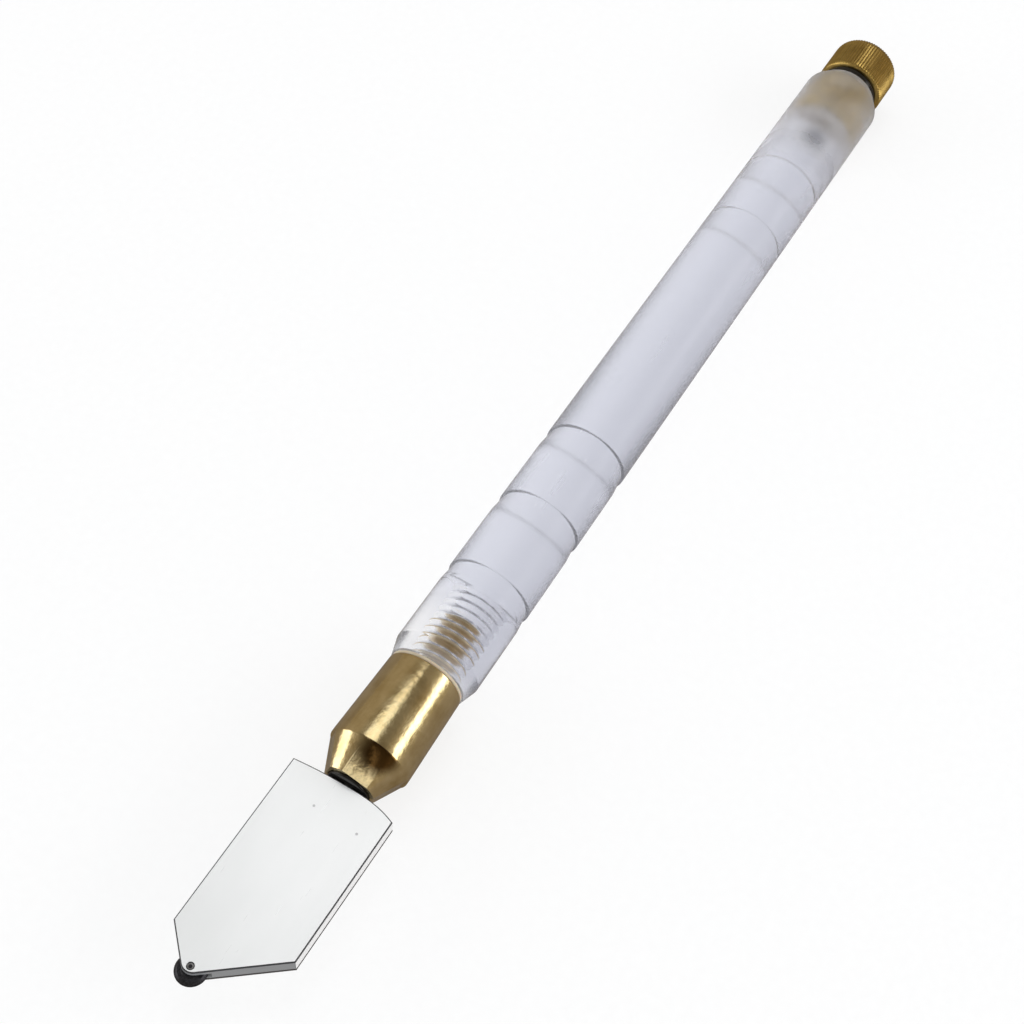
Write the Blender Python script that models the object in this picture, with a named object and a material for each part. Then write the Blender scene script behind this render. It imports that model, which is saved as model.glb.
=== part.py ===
"""Oil-feed glass cutter: a clear threaded barrel with an oil reservoir, a brass holder with a
sprung, swivelling head plate and cutting wheel, and a knurled brass filler cap.

The tool lies along X, with its wheel towards -X and its filler cap towards +X. The plate's
broad faces look up and down, and the barrel rests on z = 0.
"""

import math

import bmesh
import bpy
from mathutils import Matrix, Vector

MM = 0.001

# Driving dimensions
TOOL_LENGTH = 178.3 * MM
BARREL_RADIUS = 6.0 * MM
PLATE_WIDTH = 14.5 * MM
PLATE_THICKNESS = 2.7 * MM
WHEEL_RADIUS = 2.0 * MM
HOLDER_RADIUS = 5.55 * MM
CAP_RADIUS = 5.2 * MM

# The tool's own axis, and how finely round pieces are divided
AXIS_HEIGHT = BARREL_RADIUS
BARREL_COLUMNS = 24
HOLDER_COLUMNS = 40
SMALL_COLUMNS = 16
CAP_COLUMNS = 48
THREAD_ROWS_PER_TURN = 4

# Gaps between pieces, and how deep joined solids run into each other
RUNNING_GAP = 0.1 * MM
RESTING_GAP = 0.15 * MM
JOIN_DEPTH = 1.0 * MM

# Head plate, its tip set off towards +Y
WHEEL_X = -TOOL_LENGTH / 2 + WHEEL_RADIUS
WHEEL_Y = 2.4 * MM
TIP_ROUND_RADIUS = 1.5 * MM
TIP_APEX = (-88.45 * MM, 2.6 * MM)
SHOULDER_LEFT_X = -83.75 * MM
SHOULDER_RIGHT_X = -80.65 * MM
PLATE_LEFT_TOP_X = -60.05 * MM
PLATE_RIGHT_TOP_X = -60.75 * MM
PLATE_CROWN_BULGE = 0.75 * MM
PLATE_CROWN_Y = -1.0 * MM
PLATE_CROWN_POINTS = 7
PLATE_EDGE_BEVEL = 0.12 * MM

# Wheel, axle and the slot that holds them
WHEEL_WIDTH = 0.9 * MM
WHEEL_RIM_WIDTH = 0.35 * MM
WHEEL_BORE_RADIUS = 0.5 * MM
AXLE_RADIUS = 0.42 * MM
AXLE_LENGTH = 2.5 * MM
AXLE_HOLE_RADIUS = 0.52 * MM
SLOT_RADIUS = 2.4 * MM
SLOT_WIDTH = 1.3 * MM
OIL_WAY_RADIUS = 0.5 * MM

# Stem of the head plate
STEM_RADIUS = 1.05 * MM
STEM_SOCKET_RADIUS = 1.15 * MM
STEM_SOCKET_LENGTH = 8.0 * MM
STEM_FRONT_X = -65.6 * MM
STEM_REAR_X = -49.2 * MM
STEM_BORE_RADIUS = 0.6 * MM
STEM_BORE_REAR_X = -51.9 * MM
PUSHER_RADIUS = 0.65 * MM
PUSHER_BORE_RADIUS = 0.3 * MM
PUSHER_BORE_FRONT_X = -51.5 * MM
PUSHER_REAR_X = -46.75 * MM
CLIP_X = -50.7 * MM
CLIP_WIDTH = 0.4 * MM
CLIP_RADIUS = 1.9 * MM
CLIP_GROOVE_RADIUS = 0.85 * MM
WICK_RADIUS = 0.45 * MM
WICK_FRONT_X = -64.8 * MM
WICK_REAR_X = -53.5 * MM

# Black seal between the plate and the nose
NECK_RING_RADIUS = 2.9 * MM
NECK_RING_FRONT_X = -59.5 * MM
NECK_RING_WIDTH = 0.85 * MM

# Brass holder
NOSE_X = -59.2 * MM
NOSE_RADIUS = 3.66 * MM
SHOULDER_X = -54.85 * MM
SHOULDER_STEP = 0.05 * MM
NOSE_ROWS = (NOSE_X, -58.5 * MM, -56.7 * MM, SHOULDER_X)
NOSE_FLATS = 4
NOSE_FLAT_WIDTH = 3.6 * MM
NOSE_FLAT_TURN = math.radians(106)
HOLDER_TWIST = math.radians(7)
HOLDER_REAR_X = -42.3 * MM
HOLDER_REAR_RADIUS = 5.2 * MM
STUB_REAR_X = -33.35 * MM
NOSE_COUNTERBORE_RADIUS = NECK_RING_RADIUS + RUNNING_GAP
NOSE_COUNTERBORE_DEPTH = 0.9 * MM
SOCKET_RADIUS = 2.7 * MM
SEAT_FRONT_X = -47.75 * MM
SEAT_REAR_X = -46.35 * MM
SEAT_HOLE_RADIUS = 0.9 * MM
VALVE_BORE_RADIUS = 1.45 * MM

# Thread between the holder's stub and the barrel
FRONT_PITCH = 1.15 * MM
FRONT_THREAD_MEAN_RADIUS = 2.35 * MM
FRONT_THREAD_HEIGHT = 0.27 * MM
FRONT_THREAD_REAR_X = -29.5 * MM
THREAD_GAP = 0.2 * MM

# Sliding bush and its spring
BUSH_RADIUS = 2.6 * MM
BUSH_BORE_RADIUS = 1.17 * MM
BUSH_FRONT_X = -57.9 * MM
BUSH_REAR_X = -51.2 * MM
HEAD_SPRING_FRONT_X = -50.2 * MM
HEAD_SPRING_REAR_X = -47.9 * MM
HEAD_SPRING_RADIUS = 2.3 * MM
HEAD_SPRING_WIRE = 0.2 * MM
HEAD_SPRING_TURNS = 2.5

# Lock screw and pellet, under the holder
LOCK_X = -53.2 * MM
LOCK_SCREW_RADIUS = 1.25 * MM
LOCK_SCREW_OUTER = 5.05 * MM
LOCK_SCREW_INNER = 3.15 * MM
LOCK_SLOT_WIDTH = 0.4 * MM
LOCK_SLOT_DEPTH = 0.6 * MM
PELLET_RADIUS = 0.95 * MM
PELLET_INNER = 1.25 * MM
BUSH_WINDOW_RADIUS = 1.45 * MM

# Oil valve
BALL_RADIUS = 1.15 * MM
BALL_X = -45.48 * MM
VALVE_SPRING_FRONT_X = -44.4 * MM
VALVE_SPRING_REAR_X = -38.9 * MM
VALVE_SPRING_RADIUS = 0.95 * MM
VALVE_SPRING_WIRE = 0.15 * MM
VALVE_SPRING_TURNS = 4
RETAINER_FRONT_X = -38.6 * MM
RETAINER_REAR_X = -36.8 * MM
RETAINER_HOLE_RADIUS = 0.6 * MM

# Clear barrel
BARREL_FRONT_X = -41.7 * MM
BARREL_REAR_X = 80.85 * MM
FRONT_CHAMFER = (2.3 * MM, 0.7 * MM)
REAR_CHAMFER = (2.0 * MM, 1.2 * MM)
RESERVOIR_RADIUS = 3.8 * MM
GRIP_GROOVES = (-27.25 * MM, -14.65 * MM, -2.15 * MM)
GRIP_GROOVE_RISE = 3.2 * MM
GRIP_GROOVE_DEPTH = 0.3 * MM
MARK_GROOVES = (44.65 * MM, 57.05 * MM)
MARK_GROOVE_WIDTH = 0.5 * MM
MARK_GROOVE_DEPTH = 0.15 * MM
GASKET_RADII = (3.75 * MM, 5.1 * MM)
GASKET_WIDTH = 0.4 * MM

# Filler cap and its thread
CAP_FRONT_X = 82.25 * MM
CAP_REAR_X = TOOL_LENGTH / 2
CAP_FLUTE_DEPTH = 0.15 * MM
CAP_EDGE_ROUND = 1.0 * MM
CAP_PITCH = 1.0 * MM
CAP_THREAD_MEAN_RADIUS = 3.5 * MM
CAP_THREAD_HEIGHT = 0.22 * MM
PLUG_FRONT_X = 72.1 * MM
PLUG_PIN_RADIUS = 0.8 * MM
PLUG_PIN_LENGTH = 0.7 * MM
PLUG_SEAL_RADIUS = 3.0 * MM
PLUG_SEAL_WIDTH = 1.0 * MM
REAR_THREAD_FRONT_X = 70.9 * MM
CAP_RING_RADII = (3.85 * MM, 4.6 * MM)


# ---------------------------------------------------------------- materials and objects

def plain_material(name, color, metallic, roughness, transmission=0.0):
    material = bpy.data.materials.new(name)
    material.use_nodes = True
    shader = material.node_tree.nodes["Principled BSDF"]
    shader.inputs["Base Color"].default_value = (*color, 1.0)
    shader.inputs["Metallic"].default_value = metallic
    shader.inputs["Roughness"].default_value = roughness
    shader.inputs["Transmission Weight"].default_value = transmission
    return material


def add_object(name, mesh_builder, material, place=(0.0, 0.0, 0.0)):
    """An object whose origin stands at place, measured from the tool's axis."""
    mesh = bpy.data.meshes.new(name)
    mesh_builder.to_mesh(mesh)
    mesh_builder.free()
    mesh.materials.append(material)
    mesh.shade_smooth()
    mesh.set_sharp_from_angle(angle=math.radians(30))
    piece = bpy.data.objects.new(name, mesh)
    bpy.context.collection.objects.link(piece)
    piece.location = (place[0], place[1], place[2] + AXIS_HEIGHT)
    return piece


def boolean(piece, cutter, operation="DIFFERENCE"):
    """Joins or cuts piece with cutter, which stays as a hidden guide."""
    cutter.hide_render = True
    cutter.display_type = "WIRE"
    modifier = piece.modifiers.new(cutter.name, "BOOLEAN")
    modifier.operation = operation
    modifier.object = cutter
    modifier.solver = "EXACT"


# ---------------------------------------------------------------- turned shapes

def turned(rings, columns, datum, loop=False, twist=0.0):
    """A body of revolution about X. Each ring is (x, radius), and the radius is a number or a
    function of the angle. Rings run from front to rear along the outside. With loop, they come
    back along the bore and the last joins the first; without it, both ends are closed flat.
    The first column stands at the twist angle, measured from +Y towards +Z."""
    bm = bmesh.new()
    rows = []
    for x, radius in rings:
        row = []
        for column in range(columns):
            angle = twist + math.tau * column / columns
            reach = radius(angle) if callable(radius) else radius
            row.append(bm.verts.new((x - datum, reach * math.cos(angle), reach * math.sin(angle))))
        rows.append(row)
    pairs = list(zip(rows, rows[1:]))
    if loop:
        pairs.append((rows[-1], rows[0]))
    for first, second in pairs:
        for column in range(columns):
            after = (column + 1) % columns
            bm.faces.new((first[column], second[column], second[after], first[after]))
    if not loop:
        bm.faces.new(rows[0])
        bm.faces.new(tuple(reversed(rows[-1])))
    bmesh.ops.recalc_face_normals(bm, faces=bm.faces)
    return bm


def add_turned(name, rings, columns, datum, material, loop=False, twist=0.0):
    return add_object(name, turned(rings, columns, datum, loop, twist), material, (datum, 0.0, 0.0))


def tube(front, rear, outer, inner):
    return [(front, outer), (rear, outer), (rear, inner), (front, inner)]


def thread_rings(front, rear, mean_radius, height, pitch, end_radius):
    """Rings of a right-hand thread, with a plain ring of end_radius at the front and the rear.
    Rows stand at whole shares of the pitch, so a thread and its nut are divided alike."""
    step = pitch / THREAD_ROWS_PER_TURN
    first = math.floor(front / step) + 1
    last = math.ceil(rear / step) - 1
    rings = [(front, end_radius)]
    for row in range(first, last + 1):
        phase = math.tau * row / THREAD_ROWS_PER_TURN

        def radius(angle, phase=phase):
            return mean_radius + height * math.cos(phase - angle)

        rings.append((row * step, radius))
    rings.append((rear, end_radius))
    return rings


def spring_body(front, rear, coil_radius, wire_radius, turns, columns=6, steps_per_turn=14):
    """A coil spring about X: a round wire along a helix, closed at both ends."""
    bm = bmesh.new()
    steps = round(turns * steps_per_turn)
    rows = []
    for step in range(steps + 1):
        angle = math.tau * turns * step / steps
        along = (rear - front) * step / steps
        outward = Vector((0.0, math.cos(angle), math.sin(angle)))
        centre = Vector((along, 0.0, 0.0)) + outward * coil_radius
        row = []
        for column in range(columns):
            turn = math.tau * column / columns
            offset = Vector((math.cos(turn), 0.0, 0.0)) + outward * math.sin(turn)
            row.append(bm.verts.new(centre + offset * wire_radius))
        rows.append(row)
    for first, second in zip(rows, rows[1:]):
        for column in range(columns):
            after = (column + 1) % columns
            bm.faces.new((first[column], first[after], second[after], second[column]))
    bm.faces.new(rows[0])
    bm.faces.new(tuple(reversed(rows[-1])))
    bmesh.ops.recalc_face_normals(bm, faces=bm.faces)
    return bm


def cylinder(radius, length, columns, axis, centre=(0.0, 0.0, 0.0)):
    """A cylinder about its own centre, along the given axis."""
    bm = bmesh.new()
    turn = Vector((0.0, 0.0, 1.0)).rotation_difference(Vector(axis)).to_matrix().to_4x4()
    bmesh.ops.create_cone(
        bm,
        cap_ends=True,
        segments=columns,
        radius1=radius,
        radius2=radius,
        depth=length,
        matrix=Matrix.Translation(Vector(centre)) @ turn,
    )
    return bm


def block(size, centre=(0.0, 0.0, 0.0)):
    bm = bmesh.new()
    bmesh.ops.create_cube(bm, size=1.0, matrix=Matrix.Translation(centre) @ Matrix.Diagonal((*size, 1.0)))
    return bm


# ---------------------------------------------------------------- clear barrel

def barrel_outline():
    """The barrel's outside, front to rear: a chamfer, three grip grooves that rise gently and
    end in a step, two fine marking grooves, and a rear chamfer."""
    rings = [
        (BARREL_FRONT_X, BARREL_RADIUS - FRONT_CHAMFER[1]),
        (BARREL_FRONT_X + FRONT_CHAMFER[0], BARREL_RADIUS),
    ]
    for groove in GRIP_GROOVES:
        for share in (1.0, 0.5, 0.2):
            dip = GRIP_GROOVE_DEPTH * (1.0 - share) ** 2
            rings.append((groove - share * GRIP_GROOVE_RISE, BARREL_RADIUS - dip))
        rings.append((groove, BARREL_RADIUS - GRIP_GROOVE_DEPTH))
        rings.append((groove + RESTING_GAP, BARREL_RADIUS))
    for groove in MARK_GROOVES:
        rings.append((groove - MARK_GROOVE_WIDTH / 2, BARREL_RADIUS))
        rings.append((groove, BARREL_RADIUS - MARK_GROOVE_DEPTH))
        rings.append((groove + MARK_GROOVE_WIDTH / 2, BARREL_RADIUS))
    rings.append((BARREL_REAR_X - REAR_CHAMFER[0], BARREL_RADIUS))
    rings.append((BARREL_REAR_X, BARREL_RADIUS - REAR_CHAMFER[1]))
    return rings


def make_handle(clear):
    front_thread = thread_rings(
        BARREL_FRONT_X,
        FRONT_THREAD_REAR_X,
        FRONT_THREAD_MEAN_RADIUS,
        FRONT_THREAD_HEIGHT,
        FRONT_PITCH,
        FRONT_THREAD_MEAN_RADIUS + FRONT_THREAD_HEIGHT,
    )
    rear_thread = thread_rings(
        REAR_THREAD_FRONT_X,
        BARREL_REAR_X,
        CAP_THREAD_MEAN_RADIUS,
        CAP_THREAD_HEIGHT,
        CAP_PITCH,
        CAP_THREAD_MEAN_RADIUS + CAP_THREAD_HEIGHT,
    )
    relief = RESERVOIR_RADIUS - FRONT_THREAD_MEAN_RADIUS
    reservoir = [
        (FRONT_THREAD_REAR_X + relief, RESERVOIR_RADIUS),
        (REAR_THREAD_FRONT_X - relief, RESERVOIR_RADIUS),
    ]
    bore = front_thread + reservoir + rear_thread
    rings = barrel_outline() + bore[::-1]
    return add_turned("handle", rings, BARREL_COLUMNS, BARREL_FRONT_X, clear, loop=True)


def make_front_gasket(pale_plastic):
    middle = (HOLDER_REAR_X + BARREL_FRONT_X) / 2
    rings = tube(middle - GASKET_WIDTH / 2, middle + GASKET_WIDTH / 2, GASKET_RADII[1], GASKET_RADII[0])
    return add_turned("front_gasket", rings, BARREL_COLUMNS, middle, pale_plastic, loop=True)


# ---------------------------------------------------------------- brass holder

def nose_radius(x, angle):
    """The holder's outside before the shoulder: a cone with four flats of even width."""
    share = (x - NOSE_X) / (SHOULDER_X - NOSE_X)
    half_width = NOSE_FLAT_WIDTH / 2
    front = math.sqrt(NOSE_RADIUS**2 - half_width**2)
    rear = math.sqrt(HOLDER_RADIUS**2 - half_width**2)
    cone = NOSE_RADIUS + (HOLDER_RADIUS - NOSE_RADIUS) * share
    flat = front + (rear - front) * share
    sector = math.tau / NOSE_FLATS
    from_flat = (angle - NOSE_FLAT_TURN + sector / 2) % sector - sector / 2
    return min(cone, flat / math.cos(from_flat))


def make_holder(brass):
    outline = []
    for x in NOSE_ROWS:
        outline.append((x, lambda angle, x=x: nose_radius(x, angle)))
    outline.append((SHOULDER_X + SHOULDER_STEP, HOLDER_RADIUS))
    outline.append((HOLDER_REAR_X, HOLDER_REAR_RADIUS))
    stub_core = FRONT_THREAD_MEAN_RADIUS - FRONT_THREAD_HEIGHT - THREAD_GAP
    outline.append((HOLDER_REAR_X, stub_core))
    outline += thread_rings(
        HOLDER_REAR_X + FRONT_PITCH,
        STUB_REAR_X,
        FRONT_THREAD_MEAN_RADIUS - THREAD_GAP,
        FRONT_THREAD_HEIGHT,
        FRONT_PITCH,
        stub_core,
    )
    bore = [
        (STUB_REAR_X, VALVE_BORE_RADIUS),
        (SEAT_REAR_X, VALVE_BORE_RADIUS),
        (SEAT_REAR_X, SEAT_HOLE_RADIUS),
        (SEAT_FRONT_X, SEAT_HOLE_RADIUS),
        (SEAT_FRONT_X, SOCKET_RADIUS),
        (NOSE_X + NOSE_COUNTERBORE_DEPTH, SOCKET_RADIUS),
        (NOSE_X + NOSE_COUNTERBORE_DEPTH, NOSE_COUNTERBORE_RADIUS),
        (NOSE_X, NOSE_COUNTERBORE_RADIUS - RUNNING_GAP / 2),
    ]
    rings = outline + bore
    holder = add_turned("holder", rings, HOLDER_COLUMNS, HOLDER_REAR_X, brass, loop=True, twist=HOLDER_TWIST)
    screw_hole = cylinder(LOCK_SCREW_RADIUS + RUNNING_GAP, HOLDER_RADIUS, SMALL_COLUMNS, (0.0, 0.0, 1.0))
    place = (LOCK_X, 0.0, -HOLDER_RADIUS / 2 - STEM_RADIUS)
    boolean(holder, add_object("lock_screw_hole", screw_hole, brass, place))
    return holder


def make_slide_bush(bronze):
    rings = tube(BUSH_FRONT_X, BUSH_REAR_X, BUSH_RADIUS, BUSH_BORE_RADIUS)
    bush = add_turned("slide_bush", rings, BARREL_COLUMNS, BUSH_FRONT_X, bronze, loop=True)
    window = cylinder(BUSH_WINDOW_RADIUS, BUSH_RADIUS * 2, SMALL_COLUMNS, (0.0, 0.0, 1.0))
    boolean(bush, add_object("bush_window", window, bronze, (LOCK_X, 0.0, -BUSH_RADIUS)))
    return bush


def make_lock_screw(steel):
    length = LOCK_SCREW_OUTER - LOCK_SCREW_INNER
    middle = -(LOCK_SCREW_OUTER + LOCK_SCREW_INNER) / 2
    body = cylinder(LOCK_SCREW_RADIUS, length, SMALL_COLUMNS, (0.0, 0.0, 1.0))
    screw = add_object("lock_screw", body, steel, (LOCK_X, 0.0, middle))
    slot = block((LOCK_SCREW_RADIUS * 3, LOCK_SLOT_WIDTH, LOCK_SLOT_DEPTH * 2))
    boolean(screw, add_object("lock_screw_slot", slot, steel, (LOCK_X, 0.0, -LOCK_SCREW_OUTER)))
    return screw


def make_lock_pellet(nylon):
    outer = LOCK_SCREW_INNER - RUNNING_GAP
    body = cylinder(PELLET_RADIUS, outer - PELLET_INNER, SMALL_COLUMNS, (0.0, 0.0, 1.0))
    return add_object("lock_pellet", body, nylon, (LOCK_X, 0.0, -(outer + PELLET_INNER) / 2))


def make_head_spring(steel):
    body = spring_body(
        HEAD_SPRING_FRONT_X, HEAD_SPRING_REAR_X, HEAD_SPRING_RADIUS, HEAD_SPRING_WIRE, HEAD_SPRING_TURNS
    )
    return add_object("head_spring", body, steel, (HEAD_SPRING_FRONT_X, 0.0, 0.0))


# ---------------------------------------------------------------- head

def plate_outline():
    """The plate's outline seen from above: rounded tip, two unequal slopes, straight sides and
    a slightly crowned rear edge."""
    half = PLATE_WIDTH / 2
    left = Vector((SHOULDER_LEFT_X, half))
    right = Vector((SHOULDER_RIGHT_X, -half))
    apex = Vector(TIP_APEX)
    to_left = (left - apex).normalized()
    to_right = (right - apex).normalized()
    half_angle = to_left.angle(to_right) / 2
    inward = (to_left + to_right).normalized()
    centre = apex + inward * (TIP_ROUND_RADIUS / math.sin(half_angle))
    sweep = math.pi / 2 - half_angle
    outward = math.atan2(-inward.y, -inward.x)
    steps = 6
    points = []
    for step in range(steps + 1):
        angle = outward + sweep - 2 * sweep * step / steps
        points.append(centre + TIP_ROUND_RADIUS * Vector((math.cos(angle), math.sin(angle))))
    crown = []
    for step in range(PLATE_CROWN_POINTS):
        share = step / (PLATE_CROWN_POINTS - 1)
        y = half - PLATE_WIDTH * share
        reach = half + abs(PLATE_CROWN_Y)
        base = PLATE_LEFT_TOP_X + (PLATE_RIGHT_TOP_X - PLATE_LEFT_TOP_X) * share
        bulge = max(0.0, 1.0 - ((y - PLATE_CROWN_Y) / reach) ** 2)
        end_fade = 1.0 - (2 * share - 1) ** 4
        crown.append(Vector((base + PLATE_CROWN_BULGE * bulge * end_fade, y)))
    return points + [left] + crown + [right]


def make_head_plate(steel):
    bm = bmesh.new()
    datum = Vector((WHEEL_X, WHEEL_Y))
    bottom = []
    for point in plate_outline():
        local = point - datum
        bottom.append(bm.verts.new((local.x, local.y, -PLATE_THICKNESS / 2)))
    face = bm.faces.new(bottom)
    grown = bmesh.ops.extrude_face_region(bm, geom=[face])
    raised = [item for item in grown["geom"] if isinstance(item, bmesh.types.BMVert)]
    bmesh.ops.translate(bm, verts=raised, vec=(0.0, 0.0, PLATE_THICKNESS))
    bmesh.ops.recalc_face_normals(bm, faces=bm.faces)
    plate = add_object("head_plate", bm, steel, (WHEEL_X, WHEEL_Y, 0.0))

    bevel = plate.modifiers.new("edge_break", "BEVEL")
    bevel.width = PLATE_EDGE_BEVEL
    bevel.segments = 1
    bevel.limit_method = "ANGLE"
    bevel.angle_limit = math.radians(60)

    slot = cylinder(SLOT_RADIUS, SLOT_WIDTH, BARREL_COLUMNS, (0.0, 0.0, 1.0))
    boolean(plate, add_object("wheel_slot", slot, steel, (WHEEL_X, WHEEL_Y, 0.0)))
    axle_hole = cylinder(AXLE_HOLE_RADIUS, PLATE_THICKNESS * 2, SMALL_COLUMNS, (0.0, 0.0, 1.0))
    boolean(plate, add_object("axle_hole", axle_hole, steel, (WHEEL_X, WHEEL_Y, 0.0)))

    socket_front = STEM_FRONT_X - RESTING_GAP
    socket = cylinder(STEM_SOCKET_RADIUS, STEM_SOCKET_LENGTH, BARREL_COLUMNS, (1.0, 0.0, 0.0))
    socket_place = (socket_front + STEM_SOCKET_LENGTH / 2, 0.0, 0.0)
    boolean(plate, add_object("stem_socket", socket, steel, socket_place))
    way_start = Vector((socket_front + STEM_RADIUS, 0.0, 0.0))
    way_end = Vector((WHEEL_X, WHEEL_Y, 0.0))
    way = cylinder(OIL_WAY_RADIUS, (way_end - way_start).length, SMALL_COLUMNS, way_end - way_start)
    boolean(plate, add_object("oil_way", way, steel, (way_start + way_end) / 2))
    return plate


def make_wheel_axle(steel):
    body = cylinder(AXLE_RADIUS, AXLE_LENGTH, SMALL_COLUMNS, (0.0, 0.0, 1.0))
    return add_object("wheel_axle", body, steel, (WHEEL_X, WHEEL_Y, 0.0))


def make_cutter_wheel(carbide):
    """A small wheel about Z whose rim comes to a blunt ridge."""
    columns = BARREL_COLUMNS
    profile = [
        (-WHEEL_WIDTH / 2, WHEEL_BORE_RADIUS),
        (-WHEEL_WIDTH / 2, WHEEL_RADIUS - WHEEL_RIM_WIDTH),
        (0.0, WHEEL_RADIUS),
        (WHEEL_WIDTH / 2, WHEEL_RADIUS - WHEEL_RIM_WIDTH),
        (WHEEL_WIDTH / 2, WHEEL_BORE_RADIUS),
    ]
    bm = turned(profile, columns, 0.0, loop=True)
    bmesh.ops.rotate(bm, verts=bm.verts, matrix=Matrix.Rotation(math.radians(-90), 3, "Y"))
    return add_object("cutter_wheel", bm, carbide, (WHEEL_X, WHEEL_Y, 0.0))


def make_head_stem(steel):
    groove_front = CLIP_X - CLIP_WIDTH / 2 - RUNNING_GAP
    groove_rear = CLIP_X + CLIP_WIDTH / 2 + RUNNING_GAP
    rings = [
        (STEM_FRONT_X, STEM_RADIUS),
        (groove_front, STEM_RADIUS),
        (groove_front, CLIP_GROOVE_RADIUS),
        (groove_rear, CLIP_GROOVE_RADIUS),
        (groove_rear, STEM_RADIUS),
        (STEM_REAR_X, STEM_RADIUS),
        (STEM_REAR_X, PUSHER_RADIUS),
        (PUSHER_REAR_X, PUSHER_RADIUS),
        (PUSHER_REAR_X, PUSHER_BORE_RADIUS),
        (PUSHER_BORE_FRONT_X, PUSHER_BORE_RADIUS),
        (STEM_BORE_REAR_X, STEM_BORE_RADIUS),
        (STEM_FRONT_X, STEM_BORE_RADIUS),
    ]
    return add_turned("head_stem", rings, BARREL_COLUMNS, STEM_FRONT_X, steel, loop=True)


def make_retaining_clip(steel):
    inner = CLIP_GROOVE_RADIUS + RUNNING_GAP
    rings = tube(CLIP_X - CLIP_WIDTH / 2, CLIP_X + CLIP_WIDTH / 2, CLIP_RADIUS, inner)
    return add_turned("retaining_clip", rings, BARREL_COLUMNS, CLIP_X, steel, loop=True)


def make_oil_wick(felt):
    rings = [(WICK_FRONT_X, WICK_RADIUS), (WICK_REAR_X, WICK_RADIUS)]
    return add_turned("oil_wick", rings, SMALL_COLUMNS, WICK_FRONT_X, felt)


def make_neck_o_ring(black_rubber):
    """A flat seal round the stem, with broken outer edges."""
    rear = NECK_RING_FRONT_X + NECK_RING_WIDTH
    inner = STEM_RADIUS + RESTING_GAP
    rings = [
        (NECK_RING_FRONT_X, NECK_RING_RADIUS - RUNNING_GAP),
        (NECK_RING_FRONT_X + RUNNING_GAP, NECK_RING_RADIUS),
        (rear - RUNNING_GAP, NECK_RING_RADIUS),
        (rear, NECK_RING_RADIUS - RUNNING_GAP),
        (rear, inner),
        (NECK_RING_FRONT_X, inner),
    ]
    return add_turned("neck_o_ring", rings, BARREL_COLUMNS, NECK_RING_FRONT_X, black_rubber, loop=True)


# ---------------------------------------------------------------- oil valve

def make_valve_ball(steel):
    bm = bmesh.new()
    bmesh.ops.create_uvsphere(bm, u_segments=SMALL_COLUMNS, v_segments=10, radius=BALL_RADIUS)
    return add_object("valve_ball", bm, steel, (BALL_X, 0.0, 0.0))


def make_valve_spring(steel):
    body = spring_body(
        VALVE_SPRING_FRONT_X, VALVE_SPRING_REAR_X, VALVE_SPRING_RADIUS, VALVE_SPRING_WIRE, VALVE_SPRING_TURNS
    )
    return add_object("valve_spring", body, steel, (VALVE_SPRING_FRONT_X, 0.0, 0.0))


def make_spring_retainer(brass):
    rings = tube(RETAINER_FRONT_X, RETAINER_REAR_X, VALVE_BORE_RADIUS - RUNNING_GAP, RETAINER_HOLE_RADIUS)
    return add_turned("spring_retainer", rings, BARREL_COLUMNS, RETAINER_FRONT_X, brass, loop=True)


# ---------------------------------------------------------------- filler cap

def make_cap(brass):
    def fluted(radius):
        """Ridges and grooves in turn, one per column."""
        def reach(angle):
            column = round(angle / math.tau * CAP_COLUMNS)
            return radius - CAP_FLUTE_DEPTH * (column % 2)
        return reach

    corner = CAP_EDGE_ROUND * (1.0 - math.cos(math.radians(45)))
    head_rings = [
        (CAP_FRONT_X, CAP_RADIUS - 2 * CAP_FLUTE_DEPTH),
        (CAP_FRONT_X + CAP_FLUTE_DEPTH, fluted(CAP_RADIUS)),
        (CAP_REAR_X - CAP_EDGE_ROUND, fluted(CAP_RADIUS)),
        (CAP_REAR_X - corner, CAP_RADIUS - corner),
        (CAP_REAR_X, CAP_RADIUS - CAP_EDGE_ROUND),
    ]
    cap = add_turned("cap", head_rings, CAP_COLUMNS, CAP_FRONT_X, brass)
    plug_core = CAP_THREAD_MEAN_RADIUS - CAP_THREAD_HEIGHT - THREAD_GAP
    plug_rings = thread_rings(
        PLUG_FRONT_X,
        BARREL_REAR_X,
        CAP_THREAD_MEAN_RADIUS - THREAD_GAP,
        CAP_THREAD_HEIGHT,
        CAP_PITCH,
        plug_core,
    )
    plug_rings.append((CAP_FRONT_X + JOIN_DEPTH, plug_core))
    plug = add_turned("cap_plug", plug_rings, BARREL_COLUMNS, PLUG_FRONT_X, brass)
    boolean(cap, plug, "UNION")
    pin_rings = [(PLUG_FRONT_X - PLUG_PIN_LENGTH, PLUG_PIN_RADIUS), (PLUG_FRONT_X + JOIN_DEPTH, PLUG_PIN_RADIUS)]
    boolean(cap, add_turned("cap_plug_pin", pin_rings, SMALL_COLUMNS, PLUG_FRONT_X, brass), "UNION")
    return cap


def make_cap_plug_seal(grey_rubber):
    rear = PLUG_FRONT_X - RESTING_GAP
    front = rear - PLUG_SEAL_WIDTH
    rings = tube(front, rear, PLUG_SEAL_RADIUS, PLUG_PIN_RADIUS + RUNNING_GAP)
    return add_turned("cap_plug_seal", rings, BARREL_COLUMNS, front, grey_rubber, loop=True)


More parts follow.
